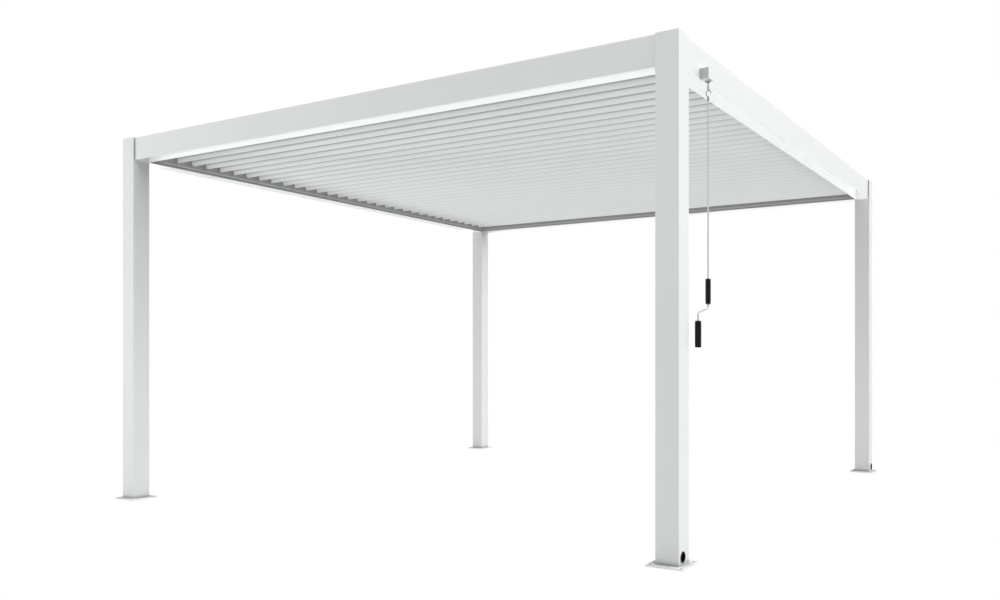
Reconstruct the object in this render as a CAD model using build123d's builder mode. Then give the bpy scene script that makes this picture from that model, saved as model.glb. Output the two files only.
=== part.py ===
from build123d import *
import math
import os

os.makedirs("parts", exist_ok=True)

# ---------------------------------------------------------------------------
# Free-standing pergola with a roof of tilting louvres, turned by a hand crank.
# Frame: origin on the ground under the middle of the roof, +Z up.
# The louvres run along X. The front side is -Y, the crank hangs on the +X side.
# All sizes in millimetres.
# ---------------------------------------------------------------------------

# overall
SPAN = 4000.0            # over the outer faces of the posts, both ways
HALF = SPAN / 2
TOP = 2390.0             # top of the post caps

# posts
POST = 115.0             # square tube, outside
POST_WALL = 2.5
POST_R = 2.0             # small radius of the extruded corners
CAP_T = 5.0
POST_C = HALF - POST / 2            # centre of each post
POST_IN = HALF - POST               # inner face of the posts

# base plates
PLATE = 185.0
PLATE_T = 8.0
PLATE_HOLES = 150.0      # square pattern, centre to centre
PLATE_HOLE_R = 5.5

# drain outlets near the foot of each post
DRAIN_Z = 43.0
DRAIN_IN = 44.0          # from the post's outer corner
DRAIN_FLANGE_R = 24.5
DRAIN_PIPE_R = 22.0
DRAIN_BORE_R = 19.0

# beams: distances are measured inwards from the posts' outer faces
BEAM_LEN = 2 * POST_IN
BEAM_OUT = 10.0          # outer face stands back from the posts
BEAM_LIP = 110.5         # inner side of the hanging lip
BEAM_Z0 = 2240.0
BEAM_Z1 = 2386.0
BEAM_WALL = 2.5
BEAM_WEB_Z = 2313.0      # top of the web that closes the lower channel
BEAM_TOP_FLANGE = 42.0   # how far the top flange reaches inwards

# gutter profiles inside the beams
APRON_0 = 112.0
APRON_1 = 115.0
APRON_Z0 = 2243.0
APRON_Z1 = 2386.0
RIB_OUT = 4.0
RIB_Z0 = 2254.0
RIB_Z1 = 2266.0
GUTTER_T = 2.0
GUTTER_UP = 2368.0       # top of the gutter's outer upstand
GUTTER_GAP = 0.5         # play between a gutter's end and the post

# louvres
N_LOUVERS = 32
PITCH = 116.3
Y_FIRST = -PITCH * (N_LOUVERS - 1) / 2
PIVOT_Z = 2340.0
PIVOT_W = 10.0           # pivot above the blade's flat underside
REST_ANGLE = 75.0        # from level, rest pose is open
BLADE_END = 1870.0
END_CAP = 4.0
PIN_R = 4.0
PIN_HOLE_R = 4.5
PIN_LEN = 26.0
# section of one blade: u across the blade, w up from its flat underside
BLADE_OUT = [(-65, 0), (65, 0), (65, 9), (62.8, 9), (62.8, 2.2), (50.8, 2.2),
             (50, 11), (35, 15.2), (10, 19.5), (-15, 19), (-40, 14), (-56, 5.2),
             (-59, 3), (-65, 3)]
BLADE_IN = [(-52, 1.8), (48.8, 1.8), (48.2, 9.7), (34.5, 13.5), (9.8, 17.7),
            (-14.8, 17.2), (-39.3, 12.3), (-52, 5.3)]

# gearbox and crank on the +X beam
GEAR_X0, GEAR_X1 = HALF - BEAM_OUT, 2035.0
GEAR_Y0, GEAR_Y1 = -1732.0, -1672.0
GEAR_Z0, GEAR_Z1 = 2237.0, 2288.0
CR_X, CR_Y = 2020.0, -1702.0        # crank axis
BALL_Z = 2226.0                     # centre of the joint under the gearbox
BALL_R = 6.0
RING_IN, RING_OUT, RING_H = 6.3, 9.0, 2.0
BAIL_HALF = 12.8                    # half the width between the bail's wires
WIRE_R = 2.0
STEM_R = 2.8
SLEEVE_Z0, SLEEVE_Z1 = 2191.0, 2214.0
SLEEVE_R, SLEEVE_BORE = 6.0, 3.1
HOOK_R = 2.2
HOOK_TOP = 2188.0
FERRULE_Z0, FERRULE_Z1 = 2138.0, 2158.0
FERRULE_R = 4.8
ROD_R = 4.0
ARM_Y = -1825.5                     # axis of the lower grip
ARM_Z0, ARM_Z1 = 1167.0, 1139.0
ROD_END = 988.0
UP_GRIP_Z0, UP_GRIP_Z1 = 1185.0, 1303.0
UP_GRIP_R = 12.0
LOW_GRIP_Z0, LOW_GRIP_Z1 = 980.0, 1101.5
LOW_GRIP_R = 14.0
GRIP_BORE = 4.3

POST_CENTRES = [(sx * POST_C, sy * POST_C) for sx in (1, -1) for sy in (-1, 1)]


def save(block, name):
    block.part.label = name
    export_step(block.part, f"parts/{name}.step")


# ---------------------------------------------------------------------------
# posts: four square tubes, each with a round hole for its drain outlet
# ---------------------------------------------------------------------------
with BuildPart() as posts:
    with BuildSketch(Plane.XY.offset(PLATE_T)):
        with Locations(*POST_CENTRES):
            RectangleRounded(POST, POST, POST_R)
            Rectangle(POST - 2 * POST_WALL, POST - 2 * POST_WALL, mode=Mode.SUBTRACT)
    extrude(amount=TOP - CAP_T - PLATE_T)
    for sx in (1, -1):
        with BuildSketch(Plane(origin=(sx * HALF, 0, 0), x_dir=(0, 1, 0), z_dir=(1, 0, 0))):
            with Locations((-HALF + DRAIN_IN, DRAIN_Z), (HALF - DRAIN_IN, DRAIN_Z)):
                Circle(DRAIN_PIPE_R)
        extrude(amount=-sx * 10, mode=Mode.SUBTRACT)
save(posts, "posts")

# ---------------------------------------------------------------------------
# post caps: a thin square lid with a hollow plug that sits in the tube
# ---------------------------------------------------------------------------
PLUG = POST - 2 * POST_WALL - 1.0
with BuildPart() as post_caps:
    with BuildSketch(Plane.XY.offset(TOP - CAP_T)):
        with Locations(*POST_CENTRES):
            RectangleRounded(POST, POST, POST_R)
    extrude(amount=CAP_T)
    chamfer(post_caps.faces().group_by(Axis.Z)[-1].edges(), length=1.0)
    with BuildSketch(Plane.XY.offset(TOP - CAP_T)):
        with Locations(*POST_CENTRES):
            Rectangle(PLUG, PLUG)
            Rectangle(PLUG - 4, PLUG - 4, mode=Mode.SUBTRACT)
    extrude(amount=-12)
save(post_caps, "post_caps")

# ---------------------------------------------------------------------------
# base plates: four square plates with a bolt hole at each corner
# ---------------------------------------------------------------------------
with BuildPart() as base_plates:
    with BuildSketch(Plane.XY):
        with Locations(*POST_CENTRES):
            RectangleRounded(PLATE, PLATE, 5)
            with GridLocations(PLATE_HOLES, PLATE_HOLES, 2, 2):
                Circle(PLATE_HOLE_R, mode=Mode.SUBTRACT)
    extrude(amount=PLATE_T)
    chamfer(base_plates.faces().group_by(Axis.Z)[-1].edges().filter_by(GeomType.LINE), length=0.8)
save(base_plates, "base_plates")

# ---------------------------------------------------------------------------
# drain outlets: a short black pipe with a round flange on each post
# ---------------------------------------------------------------------------
with BuildPart() as drain_outlets:
    for sx in (1, -1):
        face = Plane(origin=(sx * HALF, 0, 0), x_dir=(0, 1, 0), z_dir=(sx, 0, 0))
        spots = [(-HALF + DRAIN_IN, DRAIN_Z * sx), (HALF - DRAIN_IN, DRAIN_Z * sx)]
        with BuildSketch(face):
            with Locations(*spots):
                Circle(DRAIN_FLANGE_R)
        extrude(amount=3)
        with BuildSketch(face):
            with Locations(*spots):
                Circle(DRAIN_PIPE_R - 0.2)
        extrude(amount=-30)
        with BuildSketch(face.offset(3)):
            with Locations(*spots):
                Circle(DRAIN_BORE_R)
        extrude(amount=-33, mode=Mode.SUBTRACT)
save(drain_outlets, "drain_outlets")

# ---------------------------------------------------------------------------
# beams: outer fascia, web, hanging lip and top flange; the lower half is a
# channel open downwards. One section, run along each of the four sides.
# ---------------------------------------------------------------------------
# (direction of the run, inward direction) for front, back, right, left
SIDES = {
    "front": ((1, 0, 0), (0, 1, 0), (0, -HALF, 0)),
    "back": ((-1, 0, 0), (0, -1, 0), (0, HALF, 0)),
    "right": ((0, 1, 0), (-1, 0, 0), (HALF, 0, 0)),
    "left": ((0, -1, 0), (1, 0, 0), (-HALF, 0, 0)),
}


def rect(d0, z0, d1, z1):
    """Rectangle in section coordinates: d inwards from the outer plane, z up."""
    with Locations(((d0 + d1) / 2, (z0 + z1) / 2)):
        Rectangle(d1 - d0, z1 - z0)


with BuildPart() as beams:
    for run, inward, origin in SIDES.values():
        with BuildSketch(Plane(origin=origin, x_dir=inward, z_dir=Vector(inward).cross(Vector(0, 0, 1)))):
            rect(BEAM_OUT, BEAM_Z0, BEAM_OUT + BEAM_WALL, BEAM_Z1)
            rect(BEAM_OUT, BEAM_Z1 - BEAM_WALL, BEAM_TOP_FLANGE, BEAM_Z1)
            rect(BEAM_TOP_FLANGE - BEAM_WALL, BEAM_Z1 - 14, BEAM_TOP_FLANGE, BEAM_Z1)
            rect(BEAM_OUT, BEAM_WEB_Z - BEAM_WALL, BEAM_LIP, BEAM_WEB_Z)
            rect(BEAM_LIP - BEAM_WALL, BEAM_Z0, BEAM_LIP, BEAM_WEB_Z)
        extrude(amount=BEAM_LEN / 2, both=True)
save(beams, "beams")

# ---------------------------------------------------------------------------
# gutters: inner apron with a rib, a floor on the beam's web and an upstand.
# The two across the blade ends have a row of holes for the blades' pins.
# ---------------------------------------------------------------------------
LOUVER_Y = [Y_FIRST + PITCH * k for k in range(N_LOUVERS)]
with BuildPart() as gutters:
    for run, inward, origin in SIDES.values():
        plane = Plane(origin=origin, x_dir=inward, z_dir=Vector(inward).cross(Vector(0, 0, 1)))
        with BuildSketch(plane):
            rect(APRON_0, APRON_Z0, APRON_1, APRON_Z1)
            rect(BEAM_OUT + BEAM_WALL + 2, BEAM_WEB_Z, APRON_0, BEAM_WEB_Z + GUTTER_T)
            rect(BEAM_OUT + BEAM_WALL + 2, BEAM_WEB_Z, BEAM_OUT + BEAM_WALL + 2 + GUTTER_T, GUTTER_UP)
        extrude(amount=BEAM_LEN / 2 - GUTTER_GAP, both=True)
        with BuildSketch(plane):
            rect(APRON_1, RIB_Z0, APRON_1 + RIB_OUT, RIB_Z1)
        extrude(amount=BEAM_LEN / 2 - RIB_OUT - 2, both=True)
    for sx in (1, -1):
        with BuildSketch(Plane(origin=(sx * (POST_IN - 2), 0, 0), x_dir=(0, 1, 0), z_dir=(1, 0, 0))):
            with Locations(*[(y, PIVOT_Z) for y in LOUVER_Y]):
                Circle(PIN_HOLE_R)
        extrude(amount=sx * 8, mode=Mode.SUBTRACT)
save(gutters, "gutters")

# ---------------------------------------------------------------------------
# louvres: hollow closed blades, each on two end pins
# ---------------------------------------------------------------------------
A = math.radians(REST_ANGLE)
U_DIR = (0, math.cos(A), -math.sin(A))
W_DIR = (0, math.sin(A), math.cos(A))

for k, y in enumerate(LOUVER_Y, start=1):
    foot = (0, y - PIVOT_W * W_DIR[1], PIVOT_Z - PIVOT_W * W_DIR[2])
    blade_plane = Plane(origin=foot, x_dir=U_DIR, z_dir=(1, 0, 0))
    with BuildPart() as louver:
        with BuildSketch(blade_plane):
            with BuildLine():
                Polyline(*BLADE_OUT, close=True)
            make_face()
        extrude(amount=BLADE_END, both=True)
        with BuildSketch(blade_plane):
            with BuildLine():
                Polyline(*BLADE_IN, close=True)
            make_face()
        extrude(amount=BLADE_END - END_CAP, both=True, mode=Mode.SUBTRACT)
        for sx in (1, -1):
            with BuildSketch(Plane(origin=(sx * BLADE_END, y, PIVOT_Z), x_dir=(0, 1, 0), z_dir=(sx, 0, 0))):
                Circle(PIN_R)
            extrude(amount=PIN_LEN)
    save(louver, f"louver_{k:02d}")

# ---------------------------------------------------------------------------
# gearbox: closed housing on the outside of the +X beam, with an output boss
# ---------------------------------------------------------------------------
with BuildPart() as gearbox:
    with BuildSketch(Plane.XY.offset(GEAR_Z0)):
        with Locations(((GEAR_X0 + GEAR_X1) / 2, (GEAR_Y0 + GEAR_Y1) / 2)):
            Rectangle(GEAR_X1 - GEAR_X0, GEAR_Y1 - GEAR_Y0)
    extrude(amount=GEAR_Z1 - GEAR_Z0)
    chamfer(gearbox.faces().sort_by(Axis.X)[-1].edges(), length=2.0)
save(gearbox, "gearbox")

# ---------------------------------------------------------------------------
# crank eye: a turning bail under the gearbox, with a ring that holds the ball
# ---------------------------------------------------------------------------
with BuildPart() as crank_eye:
    with BuildSketch(Plane.XY.offset(GEAR_Z0 - 2.2)):
        with Locations((CR_X, CR_Y)):
            SlotOverall(2 * (BAIL_HALF + WIRE_R), 7.0)
    extrude(amount=1.9)
    for s in (1, -1):
        with BuildLine(Plane(origin=(CR_X, CR_Y, 0), x_dir=(1, 0, 0), z_dir=(0, -1, 0))) as bail_path:
            FilletPolyline((s * BAIL_HALF, GEAR_Z0 - 2.2), (s * BAIL_HALF, BALL_Z + 3.5),
                           (s * (RING_IN + 2.0), BALL_Z), radius=2.0)
        with BuildSketch(Plane(origin=(CR_X + s * BAIL_HALF, CR_Y, GEAR_Z0 - 2.2), z_dir=(0, 0, -1))):
            Circle(WIRE_R - 0.2)
        sweep(path=bail_path.wire())
    with BuildSketch(Plane.XY.offset(BALL_Z - RING_H / 2)):
        with Locations((CR_X, CR_Y)):
            Circle(RING_OUT)
    extrude(amount=RING_H)
    with BuildSketch(Plane.XY.offset(BALL_Z - 6)):
        with Locations((CR_X, CR_Y)):
            Circle(RING_IN)
    extrude(amount=9.6, mode=Mode.SUBTRACT)
save(crank_eye, "crank_eye")

# ---------------------------------------------------------------------------
# hook sleeve: a loose tube over the stem of the hook
# ---------------------------------------------------------------------------
with BuildPart() as hook_sleeve:
    with BuildSketch(Plane.XY.offset(SLEEVE_Z0)):
        with Locations((CR_X, CR_Y)):
            Circle(SLEEVE_R)
            Circle(SLEEVE_BORE, mode=Mode.SUBTRACT)
    extrude(amount=SLEEVE_Z1 - SLEEVE_Z0)
save(hook_sleeve, "hook_sleeve")

# ---------------------------------------------------------------------------
# crank hook: ball, stem, open hook bent from wire, and a ferrule at its foot
# ---------------------------------------------------------------------------
with BuildPart() as crank_hook:
    with Locations((CR_X, CR_Y, BALL_Z)):
        Sphere(BALL_R)
    with BuildSketch(Plane.XY.offset(HOOK_TOP)):
        with Locations((CR_X, CR_Y)):
            Circle(STEM_R)
    extrude(amount=BALL_Z - HOOK_TOP)
    with BuildLine(Plane(origin=(CR_X, CR_Y, 0), x_dir=(1, 0, 0), z_dir=(0, -1, 0))) as hook_path:
        FilletPolyline((12.5, HOOK_TOP - 15), (12.5, HOOK_TOP), (-9.5, HOOK_TOP),
                       (-9.5, FERRULE_Z1 + 9), (0, FERRULE_Z1 - 1), (0, FERRULE_Z1 - 8),
                       radius=[10.5, 10.5, 4, 4])
    with BuildSketch(Plane(origin=(CR_X + 12.5, CR_Y, HOOK_TOP - 15), z_dir=(0, 0, 1))):
        Circle(HOOK_R)
    sweep(path=hook_path.wire())
    with BuildSketch(Plane.XY.offset(FERRULE_Z0)):
        with Locations((CR_X, CR_Y)):
            Circle(FERRULE_R)
    extrude(amount=FERRULE_Z1 - FERRULE_Z0)
save(crank_hook, "crank_hook")

# ---------------------------------------------------------------------------
# crank rod: one bent rod, straight down, then out and down to the lower grip
# ---------------------------------------------------------------------------
with BuildPart() as crank_rod:
    with BuildLine(Plane(origin=(CR_X, 0, 0), x_dir=(0, 1, 0), z_dir=(1, 0, 0))) as rod_path:
        FilletPolyline((CR_Y, FERRULE_Z0), (CR_Y, ARM_Z0), (ARM_Y, ARM_Z1), (ARM_Y, ROD_END),
                       radius=[12, 22])
    with BuildSketch(Plane(origin=(CR_X, CR_Y, FERRULE_Z0), z_dir=(0, 0, -1))):
        Circle(ROD_R)
    sweep(path=rod_path.wire())
    # small collars that keep the grips in place
    with BuildSketch(Plane.XY.offset(UP_GRIP_Z1 + 0.5)):
        with Locations((CR_X, CR_Y)):
            Circle(6.0)
    extrude(amount=3.0)
    with BuildSketch(Plane.XY.offset(UP_GRIP_Z0 - 3.5)):
        with Locations((CR_X, CR_Y)):
            Circle(6.0)
    extrude(amount=3.0)
    with BuildSketch(Plane.XY.offset(LOW_GRIP_Z1 + 0.5)):
        with Locations((CR_X, ARM_Y)):
            Circle(6.5)
    extrude(amount=3.0)
save(crank_rod, "crank_rod")

# ---------------------------------------------------------------------------
# grips: turning tubes, the lower one closed at its foot
# ---------------------------------------------------------------------------
with BuildPart() as upper_grip:
    with BuildSketch(Plane.XY.offset(UP_GRIP_Z0)):
        with Locations((CR_X, CR_Y)):
            Circle(UP_GRIP_R)
    extrude(amount=UP_GRIP_Z1 - UP_GRIP_Z0)
    fillet(upper_grip.edges().filter_by(GeomType.CIRCLE), radius=2.0)
    with BuildSketch(Plane.XY.offset(UP_GRIP_Z0)):
        with Locations((CR_X, CR_Y)):
            Circle(GRIP_BORE)
    extrude(amount=UP_GRIP_Z1 - UP_GRIP_Z0, mode=Mode.SUBTRACT)
save(upper_grip, "upper_grip")

with BuildPart() as lower_grip:
    with BuildSketch(Plane.XY.offset(LOW_GRIP_Z0)):
        with Locations((CR_X, ARM_Y)):
            Circle(LOW_GRIP_R)
    extrude(amount=LOW_GRIP_Z1 - LOW_GRIP_Z0)
    fillet(lower_grip.edges().filter_by(GeomType.CIRCLE), radius=2.0)
    with BuildSketch(Plane.XY.offset(ROD_END - 2)):
        with Locations((CR_X, ARM_Y)):
            Circle(GRIP_BORE)
    extrude(amount=LOW_GRIP_Z1 - ROD_END + 2, mode=Mode.SUBTRACT)
save(lower_grip, "lower_grip")
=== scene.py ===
import math

import bmesh
import bpy
from mathutils import Matrix, Vector


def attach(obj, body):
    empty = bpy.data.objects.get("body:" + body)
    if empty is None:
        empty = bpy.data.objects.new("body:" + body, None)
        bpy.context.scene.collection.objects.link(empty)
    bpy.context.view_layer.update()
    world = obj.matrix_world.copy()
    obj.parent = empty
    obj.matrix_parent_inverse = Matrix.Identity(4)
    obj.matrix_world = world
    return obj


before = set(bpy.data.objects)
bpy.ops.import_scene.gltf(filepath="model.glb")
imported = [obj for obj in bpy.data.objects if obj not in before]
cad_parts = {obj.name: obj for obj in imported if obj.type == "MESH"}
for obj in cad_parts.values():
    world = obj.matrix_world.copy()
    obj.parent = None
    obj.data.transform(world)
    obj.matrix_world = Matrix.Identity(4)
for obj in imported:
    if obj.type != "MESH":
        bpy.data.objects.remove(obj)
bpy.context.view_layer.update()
scene = bpy.context.scene

# ---------------------------------------------------------------------------
# camera: the picture's own viewpoint, level, about 0.93 m above the ground
# ---------------------------------------------------------------------------
cam_data = bpy.data.cameras.new("camera")
cam_data.sensor_width = 36.0
cam_data.lens = 32.36
cam_data.shift_x = -0.0743
cam_data.shift_y = 0.0589
cam_data.clip_start = 0.05
cam_data.clip_end = 400.0
camera = bpy.data.objects.new("camera", cam_data)
scene.collection.objects.link(camera)
camera.location = (3.5887, -5.6696, 0.9276)
camera.rotation_euler = (math.radians(90), 0, math.radians(30.04))
scene.camera = camera

scene.view_settings.view_transform = "Standard"
scene.view_settings.look = "None"


# ---------------------------------------------------------------------------
# small helpers
# ---------------------------------------------------------------------------
def link(obj):
    scene.collection.objects.link(obj)
    return obj


def new_material(name):
    m = bpy.data.materials.new(name)
    m.use_nodes = True
    nt = m.node_tree
    nt.nodes.clear()
    out = nt.nodes.new("ShaderNodeOutputMaterial")
    return m, nt, out


def coords(nt, scale=(1, 1, 1)):
    tc = nt.nodes.new("ShaderNodeTexCoord")
    mp = nt.nodes.new("ShaderNodeMapping")
    mp.inputs["Scale"].default_value = scale
    nt.links.new(tc.outputs["Object"], mp.inputs["Vector"])
    return mp.outputs["Vector"]


def noise(nt, vec, scale, detail=2.0, rough=0.5):
    n = nt.nodes.new("ShaderNodeTexNoise")
    n.inputs["Scale"].default_value = scale
    n.inputs["Detail"].default_value = detail
    n.inputs["Roughness"].default_value = rough
    nt.links.new(vec, n.inputs["Vector"])
    return n.outputs["Fac"]


def ramp(nt, fac, stops):
    r = nt.nodes.new("ShaderNodeValToRGB")
    els = r.color_ramp.elements
    while len(els) < len(stops):
        els.new(0.5)
    for e, (p, c) in zip(els, stops):
        e.position = p
        e.color = (*c, 1.0) if len(c) == 3 else c
    nt.links.new(fac, r.inputs["Fac"])
    return r.outputs["Color"]


def rng(nt, val, lo, hi, a, b):
    r = nt.nodes.new("ShaderNodeMapRange")
    r.inputs["From Min"].default_value = lo
    r.inputs["From Max"].default_value = hi
    r.inputs["To Min"].default_value = a
    r.inputs["To Max"].default_value = b
    nt.links.new(val, r.inputs["Value"])
    return r.outputs["Result"]


def bump(nt, height, strength, dist, normal=None):
    b = nt.nodes.new("ShaderNodeBump")
    b.inputs["Strength"].default_value = strength
    b.inputs["Distance"].default_value = dist
    nt.links.new(height, b.inputs["Height"])
    if normal is not None:
        nt.links.new(normal, b.inputs["Normal"])
    return b.outputs["Normal"]


def painted_occlusion_shade(nt, colour, reach, lo, hi, depth, samples=24, mask=None):
    """Painted shade: darken a colour by ambient occlusion, where other surfaces stand within reach."""
    ao = nt.nodes.new("ShaderNodeAmbientOcclusion")
    ao.samples = samples
    ao.inputs["Distance"].default_value = reach
    mix = nt.nodes.new("ShaderNodeMix")
    mix.data_type = "RGBA"
    mix.blend_type = "MULTIPLY"
    mix.inputs["Factor"].default_value = 1.0
    if mask is not None:
        nt.links.new(mask, mix.inputs["Factor"])
    nt.links.new(colour, mix.inputs["A"])
    grey = nt.nodes.new("ShaderNodeCombineColor")
    val = rng(nt, ao.outputs["AO"], lo, hi, depth, 1.0)
    for i in range(3):
        nt.links.new(val, grey.inputs[i])
    nt.links.new(grey.outputs["Color"], mix.inputs["B"])
    return mix.outputs["Result"]


def zone(nt, axis, lo, hi, soft=0.0003):
    """1 where the object's own coordinate lies between lo and hi, 0 elsewhere."""
    tc = nt.nodes.new("ShaderNodeTexCoord")
    sep = nt.nodes.new("ShaderNodeSeparateXYZ")
    nt.links.new(tc.outputs["Object"], sep.inputs["Vector"])
    v = sep.outputs["XYZ".index(axis)]
    mul = nt.nodes.new("ShaderNodeMath")
    mul.operation = "MULTIPLY"
    nt.links.new(rng(nt, v, lo - soft, lo + soft, 0, 1), mul.inputs[0])
    nt.links.new(rng(nt, v, hi - soft, hi + soft, 1, 0), mul.inputs[1])
    return mul.outputs[0]


def math_node(nt, op, a, b=None):
    n = nt.nodes.new("ShaderNodeMath")
    n.operation = op
    nt.links.new(a, n.inputs[0])
    if b is not None:
        nt.links.new(b, n.inputs[1])
    return n.outputs[0]


def painted_shade_near_mask(nt):
    """Mask for the painted shade beside the fascias and at the feet: 1 in the outermost 10 mm of the plan and near the
    ground, 0 elsewhere.
    """
    tc = nt.nodes.new("ShaderNodeTexCoord")
    sep = nt.nodes.new("ShaderNodeSeparateXYZ")
    nt.links.new(tc.outputs["Object"], sep.inputs["Vector"])
    far = math_node(nt, "MAXIMUM", math_node(nt, "ABSOLUTE", sep.outputs["X"]), math_node(nt, "ABSOLUTE", sep.outputs["Y"]))
    return math_node(nt, "MAXIMUM", rng(nt, far, 1.9890, 1.9900, 0, 1), rng(nt, sep.outputs["Z"], 0.12, 0.15, 1, 0))


def blend(nt, fac, a, b):
    mix = nt.nodes.new("ShaderNodeMix")
    mix.data_type = "RGBA"
    nt.links.new(fac, mix.inputs["Factor"])
    nt.links.new(a, mix.inputs["A"])
    nt.links.new(b, mix.inputs["B"])
    return mix.outputs["Result"]


def powder(name, light, dark, rough=(0.42, 0.52), peel=0.35, spec=0.4, painted_shades=(), zones=(), painted_shade_line=None):
    """Powder coat: fine orange peel, a slow drift of tone and of gloss; painted shades and a painted shade line darken
    the colour where asked.
    """
    m, nt, out = new_material(name)
    bs = nt.nodes.new("ShaderNodeBsdfPrincipled")
    nt.links.new(bs.outputs["BSDF"], out.inputs["Surface"])
    v = coords(nt)
    slow = noise(nt, v, 1.7, 3.0, 0.55)
    fine = noise(nt, v, 900.0, 2.0, 0.5)
    wide = noise(nt, v, 60.0, 2.0, 0.5)
    colour = ramp(nt, slow, [(0.3, dark), (0.7, light)])
    for axis, lo, hi, c_light, c_dark in zones:
        colour = blend(nt, zone(nt, axis, lo, hi), colour, ramp(nt, slow, [(0.3, c_dark), (0.7, c_light)]))
    # painted shade: each entry darkens the colour by ambient occlusion; the near one only at the outer edges and the
    # feet
    for shade in painted_shades:
        colour = painted_occlusion_shade(nt, colour, *shade, mask=painted_shade_near_mask(nt) if shade is PAINTED_SHADE_NEAR else None)
    if painted_shade_line is not None:
        # painted shade: a soft dark line along the lower face, only on faces turned towards -Y: (height above the
        # lower edge, tone) pairs
        z0, span, tones = painted_shade_line
        tc = nt.nodes.new("ShaderNodeTexCoord")
        sep = nt.nodes.new("ShaderNodeSeparateXYZ")
        nt.links.new(tc.outputs["Object"], sep.inputs["Vector"])
        sep_n = nt.nodes.new("ShaderNodeSeparateXYZ")
        nt.links.new(tc.outputs["Normal"], sep_n.inputs["Vector"])
        line = ramp(nt, rng(nt, sep.outputs["Z"], z0, z0 + span, 0, 1), [(h / span, (t, t, t)) for h, t in tones])
        lined = nt.nodes.new("ShaderNodeMix")
        lined.data_type = "RGBA"
        lined.blend_type = "MULTIPLY"
        nt.links.new(rng(nt, sep_n.outputs["Y"], -0.9, -0.5, 1, 0), lined.inputs["Factor"])
        nt.links.new(colour, lined.inputs["A"])
        nt.links.new(line, lined.inputs["B"])
        colour = lined.outputs["Result"]
    nt.links.new(colour, bs.inputs["Base Color"])
    nt.links.new(rng(nt, wide, 0.3, 0.7, *rough), bs.inputs["Roughness"])
    nt.links.new(bump(nt, fine, peel, 0.00012), bs.inputs["Normal"])
    bs.inputs["Specular IOR Level"].default_value = spec
    return m


def plastic(name, light, dark, rough=(0.45, 0.6), grain=1400.0, strength=0.3, spec=0.4):
    m, nt, out = new_material(name)
    bs = nt.nodes.new("ShaderNodeBsdfPrincipled")
    nt.links.new(bs.outputs["BSDF"], out.inputs["Surface"])
    v = coords(nt)
    nt.links.new(ramp(nt, noise(nt, v, 35.0, 3.0), [(0.3, dark), (0.7, light)]), bs.inputs["Base Color"])
    nt.links.new(rng(nt, noise(nt, v, 120.0), 0.3, 0.7, *rough), bs.inputs["Roughness"])
    nt.links.new(bump(nt, noise(nt, v, grain, 2.0), strength, 0.0001), bs.inputs["Normal"])
    bs.inputs["Specular IOR Level"].default_value = spec
    return m


def metal(name, light, dark, rough=(0.3, 0.45), metallic=1.0, stretch=(1, 1, 0.05), scale=500.0, zones=()):
    """Drawn steel: lines along the wire."""
    m, nt, out = new_material(name)
    bs = nt.nodes.new("ShaderNodeBsdfPrincipled")
    nt.links.new(bs.outputs["BSDF"], out.inputs["Surface"])
    v = coords(nt, stretch)
    lines = noise(nt, v, scale, 3.0, 0.6)
    colour = ramp(nt, lines, [(0.3, dark), (0.7, light)])
    for axis, lo, hi, c_light, c_dark in zones:
        colour = blend(nt, zone(nt, axis, lo, hi), colour, ramp(nt, lines, [(0.3, c_dark), (0.7, c_light)]))
    nt.links.new(colour, bs.inputs["Base Color"])
    nt.links.new(rng(nt, lines, 0.3, 0.7, *rough), bs.inputs["Roughness"])
    nt.links.new(bump(nt, lines, 0.15, 0.0001), bs.inputs["Normal"])
    bs.inputs["Metallic"].default_value = metallic
    return m


WHITE_L, WHITE_D = (0.905, 0.925, 0.925), (0.885, 0.905, 0.905)
PAINTED_SHADE_NEAR = (0.042, 0.50, 0.86, 0.56)     # painted shade beside the fascias and at the feet
PAINTED_SHADE_UNDER_ROOF = (1.80, 0.50, 1.00, 0.66)     # painted shade under the roof, from ambient occlusion within 1.8 m
mat_post = powder("post_white", WHITE_L, WHITE_D, painted_shades=(PAINTED_SHADE_NEAR, PAINTED_SHADE_UNDER_ROOF))
mat_frame = powder("frame_white", WHITE_L, WHITE_D)
mat_cap = plastic("cap_white", (0.89, 0.905, 0.905), (0.87, 0.885, 0.885))
# painted shade: the plates darken by ambient occlusion within 0.10 m, most beside the posts
mat_plate = powder("plate_white", WHITE_L, WHITE_D, rough=(0.45, 0.55), painted_shades=((0.10, 0.50, 0.90, 0.55),))
# painted shade: the blades darken by ambient occlusion within 30 mm, and a painted shade line runs along each blade's
# face turned towards -Y, darkest 29 to 43 mm above its lower edge
mat_louver = powder("louver_white", (0.94, 0.955, 0.955), (0.925, 0.94, 0.94), rough=(0.38, 0.48),
                    painted_shades=((0.03, 0.50, 0.92, 0.55, 12),),
                    painted_shade_line=(2.277, 0.060, ((0.0, 1.0), (0.005, 1.0), (0.016, 0.945), (0.0225, 0.86),
                                           (0.029, 0.52), (0.043, 0.52), (0.053, 1.0))))
# the gutters' grey shows a lighter rib along the inner walls
mat_gutter = powder("gutter_grey", (0.36, 0.36, 0.365), (0.34, 0.34, 0.345), rough=(0.45, 0.55),
                    zones=(("Z", 2.2535, 2.2665, (0.52, 0.52, 0.525), (0.49, 0.49, 0.495)),))
mat_drain = plastic("drain_black", (0.006, 0.006, 0.006), (0.003, 0.003, 0.003), rough=(0.5, 0.65), spec=0.2)
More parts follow.
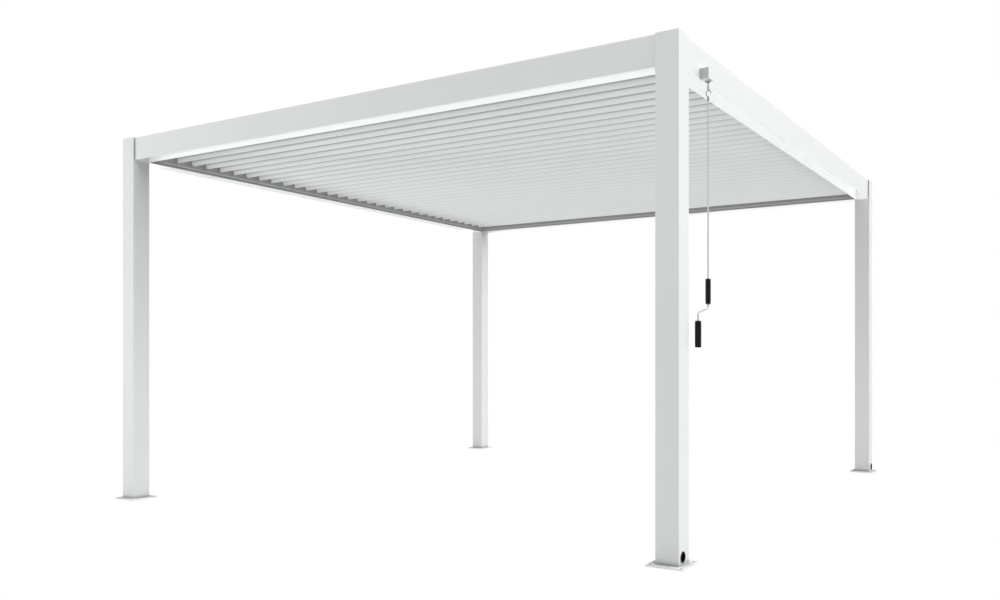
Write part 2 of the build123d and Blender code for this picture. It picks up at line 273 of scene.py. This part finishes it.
# white housing with grey cheeks
CHEEK = ((0.62, 0.635, 0.635), (0.57, 0.585, 0.585))
mat_gear = powder("gearbox_white", (0.91, 0.925, 0.925), (0.89, 0.905, 0.905), rough=(0.4, 0.5), peel=0.5,
                  zones=(("Y", -1.74, -1.7312, *CHEEK), ("Y", -1.6728, -1.66, *CHEEK)))
mat_hook = metal("hook_steel", (0.36, 0.37, 0.37), (0.24, 0.25, 0.25))
mat_eye = metal("eye_steel", (0.22, 0.225, 0.225), (0.15, 0.155, 0.155), metallic=0.8,
                zones=(("Z", 2.2346, 2.24, (0.90, 0.91, 0.91), (0.84, 0.85, 0.85)),))
mat_sleeve = plastic("sleeve_grey", (0.64, 0.655, 0.655), (0.59, 0.605, 0.605))
mat_rod = powder("rod_grey", (0.68, 0.70, 0.70), (0.63, 0.65, 0.65), rough=(0.35, 0.45), peel=0.2)
mat_grip = plastic("grip_black", (0.0055, 0.006, 0.0065), (0.002, 0.002, 0.0025), rough=(0.5, 0.65), spec=0.2)
# the ribs are a lighter black than the grips, partly painted sheen, so that they read as light lines
mat_rib = plastic("grip_rib_black", (0.030, 0.031, 0.033), (0.018, 0.018, 0.020), rough=(0.4, 0.55), spec=0.35)
mat_screw = metal("screw_steel", (0.55, 0.56, 0.56), (0.42, 0.43, 0.43), stretch=(1, 1, 1))
mat_hole_shadow = plastic("hole_shadow_dark", (0.05, 0.052, 0.052), (0.03, 0.031, 0.031), rough=(0.5, 0.65), spec=0.25)

OF_NODE = {
    "posts": mat_post, "beams": mat_frame, "post_caps": mat_cap, "base_plates": mat_plate,
    "drain_outlets": mat_drain, "gutters": mat_gutter, "gearbox": mat_gear,
    "crank_eye": mat_eye, "crank_hook": mat_hook, "hook_sleeve": mat_sleeve,
    "crank_rod": mat_rod, "upper_grip": mat_grip, "lower_grip": mat_grip,
}
for name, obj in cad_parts.items():
    m = OF_NODE.get(name, mat_louver)
    if not obj.data.materials:
        obj.data.materials.append(m)
    for i in range(len(obj.data.materials)):
        obj.data.materials[i] = m

# ---------------------------------------------------------------------------
# small trim: dark cups in the plates' holes as painted shadow, ribs on the grips, screws
# ---------------------------------------------------------------------------
def lathe(bm, centre, profile, n=32, axis="Z"):
    """Turns (radius, height) points round an axis through centre; both ends close on it."""
    turn = {"Z": Matrix.Identity(3), "Y": Matrix.Rotation(math.radians(90), 3, "X"),
            "-Z": Matrix.Rotation(math.radians(180), 3, "X")}[axis]
    rings = []
    for r, h in profile:
        if r == 0:
            rings.append([bm.verts.new(Vector(centre) + turn @ Vector((0, 0, h)))])
        else:
            rings.append([bm.verts.new(Vector(centre) + turn @ Vector(
                (r * math.cos(2 * math.pi * i / n), r * math.sin(2 * math.pi * i / n), h))) for i in range(n)])
    for a, b in zip(rings, rings[1:]):
        for i in range(n):
            j = (i + 1) % n
            if len(a) == 1:
                bm.faces.new((a[0], b[j], b[i]))
            elif len(b) == 1:
                bm.faces.new((a[i], a[j], b[0]))
            else:
                bm.faces.new((a[i], a[j], b[j], b[i]))


def piece(name, bm, material, body, smooth_angle=35):
    bmesh.ops.recalc_face_normals(bm, faces=bm.faces)
    me = bpy.data.meshes.new(name)
    for e in bm.edges:
        if len(e.link_faces) == 2:
            e.smooth = e.calc_face_angle(0) < math.radians(smooth_angle)
    for f in bm.faces:
        f.smooth = True
    bm.to_mesh(me)
    bm.free()
    me.materials.append(material)
    o = link(bpy.data.objects.new(name, me))
    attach(o, body)
    return o


# painted shadow: dark cups in the anchor holes stand in for the shade inside them, each a cup with a rim, a little
# below the plate's top
PLATE_C, HOLE_C = 1.9425, 0.075
HOLES = []
bm = bmesh.new()
for sx in (-1, 1):
    for sy in (-1, 1):
        for dx in (-1, 1):
            for dy in (-1, 1):
                HOLES.append((sx * PLATE_C + dx * HOLE_C, sy * PLATE_C + dy * HOLE_C))
for x, y in HOLES:
    lathe(bm, (x, y, 0), [(0, 0.0006), (0.0053, 0.0006), (0.0053, 0.0072), (0.0049, 0.0075), (0.0044, 0.0072),
                          (0.0042, 0.0024), (0, 0.0020)])
piece("hole_shadow_cups", bm, mat_hole_shadow, "frame")

# grips: lengthwise ribs, a little short of each end
for tag, body, (x, y), r, z0, z1 in (
        ("upper", "upper_grip", (2.020, -1.702), 0.012, 1.185, 1.303),
        ("lower", "lower_grip", (2.020, -1.8255), 0.014, 0.980, 1.1015)):
    bm = bmesh.new()
    count, w, h = 12, 0.0017, 0.0007
    for i in range(count):
        a = 2 * math.pi * (i + 0.5) / count
        rad, tan = Vector((math.cos(a), math.sin(a), 0)), Vector((-math.sin(a), math.cos(a), 0))
        ring = []
        for z, k in ((z0 + 0.007, 0.0), (z0 + 0.009, 1.0), (z1 - 0.009, 1.0), (z1 - 0.007, 0.0)):
            c = Vector((x, y, z))
            ring.append([bm.verts.new(c + rad * (r - 0.0004 + q * k) + tan * t) for t, q in (
                (-w / 2, 0.0), (-w / 2 * 0.6, h + 0.0004), (w / 2 * 0.6, h + 0.0004), (w / 2, 0.0))])
        for a_, b_ in zip(ring, ring[1:]):
            for m_ in range(4):
                n_ = (m_ + 1) % 4
                bm.faces.new((a_[m_], a_[n_], b_[n_], b_[m_]))
        bm.faces.new(ring[0])
        bm.faces.new(ring[-1][::-1])
    piece(tag + "_grip_ribs", bm, mat_rib, body, 20)

# gearbox: two screws under it, beside the eye
bm = bmesh.new()
for y in (-1.7235, -1.6805):
    lathe(bm, (2.000, y, 2.2371), [(0, 0), (0.0032, 0), (0.0032, 0.0010), (0.0026, 0.0017), (0.0014, 0.0020),
                                   (0.0012, 0.0014), (0, 0.0014)], n=24, axis="-Z")
piece("gearbox_screws", bm, mat_screw, "frame")

# ---------------------------------------------------------------------------
# studio: a plain white floor, white surroundings, soft light
# ---------------------------------------------------------------------------
# The surroundings are a soft dome with a few broad brighter patches:
# (direction, strength). The floor only shows white, so the light that a white
# floor would throw up comes from the dome's lower patches.
PATCHES = [
    ((-1, -1, 1), 1.03), ((-1, 0, -1), 1.15), ((0, 0, -1), 1.54),
    ((1, 0, 1), 2.52), ((1, 1, 0.7), 1.30),
]
world = bpy.data.worlds.new("studio")
scene.world = world
world.use_nodes = True
wn = world.node_tree
wn.nodes.clear()
w_out = wn.nodes.new("ShaderNodeOutputWorld")
w_light = wn.nodes.new("ShaderNodeBackground")
w_seen = wn.nodes.new("ShaderNodeBackground")
w_mix = wn.nodes.new("ShaderNodeMixShader")
w_path = wn.nodes.new("ShaderNodeLightPath")
w_tc = wn.nodes.new("ShaderNodeTexCoord")


def w_math(op, a, b):
    n = wn.nodes.new("ShaderNodeMath")
    n.operation = op
    for i, v in enumerate((a, b)):
        if isinstance(v, (int, float)):
            n.inputs[i].default_value = v
        else:
            wn.links.new(v, n.inputs[i])
    return n.outputs[0]


total = None
for direction, strength in PATCHES:
    dot = wn.nodes.new("ShaderNodeVectorMath")
    dot.operation = "DOT_PRODUCT"
    dot.inputs[1].default_value = Vector(direction).normalized()
    wn.links.new(w_tc.outputs["Generated"], dot.inputs[0])
    lobe = w_math("MULTIPLY", w_math("POWER", w_math("MAXIMUM", dot.outputs["Value"], 0.0), 4.0), strength)
    total = lobe if total is None else w_math("ADD", total, lobe)
wn.links.new(total, w_light.inputs["Strength"])
w_seen.inputs["Strength"].default_value = 1.0
for n in (w_light, w_seen):
    n.inputs["Color"].default_value = (1, 1, 1, 1)
wn.links.new(w_path.outputs["Is Camera Ray"], w_mix.inputs["Fac"])
wn.links.new(w_light.outputs["Background"], w_mix.inputs[1])
wn.links.new(w_seen.outputs["Background"], w_mix.inputs[2])
wn.links.new(w_mix.outputs["Shader"], w_out.inputs["Surface"])

bm = bmesh.new()
bmesh.ops.create_grid(bm, x_segments=8, y_segments=8, size=60.0)
floor_mesh = bpy.data.meshes.new("studio_floor")
bm.to_mesh(floor_mesh)
bm.free()
floor = link(bpy.data.objects.new("studio_floor", floor_mesh))
floor.location = (0, 0, -0.0005)
fm, fnt, fout = new_material("studio_floor")
f_em = fnt.nodes.new("ShaderNodeEmission")
f_em.inputs["Color"].default_value = (1, 1, 1, 1)
f_em.inputs["Strength"].default_value = 1.0
fnt.links.new(f_em.outputs["Emission"], fout.inputs["Surface"])
floor_mesh.materials.append(fm)
floor.visible_diffuse = False
floor.visible_glossy = False
floor.visible_transmission = False
floor.visible_shadow = False


def softbox(name, size_x, size_y, energy, loc, aim):
    light = bpy.data.lights.new(name, "AREA")
    light.shape = "RECTANGLE"
    light.size, light.size_y = size_x, size_y
    light.energy = energy
    o = link(bpy.data.objects.new(name, light))
    o.location = loc
    o.rotation_euler = (Vector(aim) - Vector(loc)).to_track_quat("-Z", "Y").to_euler()
    o.visible_camera = False
    return o


softbox("left_softbox", 3.0, 3.0, 64.0, (-5.5, -5.5, 1.8), (-2, -2, 1.2))


def low_sun(name, energy, travel, angle):
    """A soft low light from the front that reaches up under the roof."""
    light = bpy.data.lights.new(name, "SUN")
    light.energy = energy
    light.angle = math.radians(angle)
    o = link(bpy.data.objects.new(name, light))
    o.rotation_euler = Vector(travel).to_track_quat("-Z", "Y").to_euler()
    return o


low_sun("front_low_light", 0.275, (0, 1, 0.25), 8)
low_sun("left_low_light", 0.20, (1.5, 1, 0.25), 8)

# a long low light under each beam's open channel, shining up into it, and a
# short one at each end, so that the strip stays as bright up to the posts
for name, x, y, watts in (("front", 0, -1, 0.54), ("back", 0, 1, 0.54), ("left", -1, 0, 0.54), ("right", 1, 0, 0.66)):
    c = 1.94
    for part, length, at, power in (("", 3.76, 0.0, watts), ("_a", 0.14, -1.81, watts * 0.05), ("_b", 0.14, 1.81, watts * 0.05)):
        light = bpy.data.lights.new(name + "_channel_light" + part, "AREA")
        light.shape = "RECTANGLE"
        light.size = length if y else 0.09
        light.size_y = 0.09 if y else length
        light.energy = power
        light.color = (1.0, 0.965, 0.955)
        o = link(bpy.data.objects.new(name + "_channel_light" + part, light))
        o.location = (x * c + (at if y else 0), y * c + (at if x else 0), 2.236)
        o.rotation_euler = (math.radians(180), 0, 0)
        o.visible_camera = False
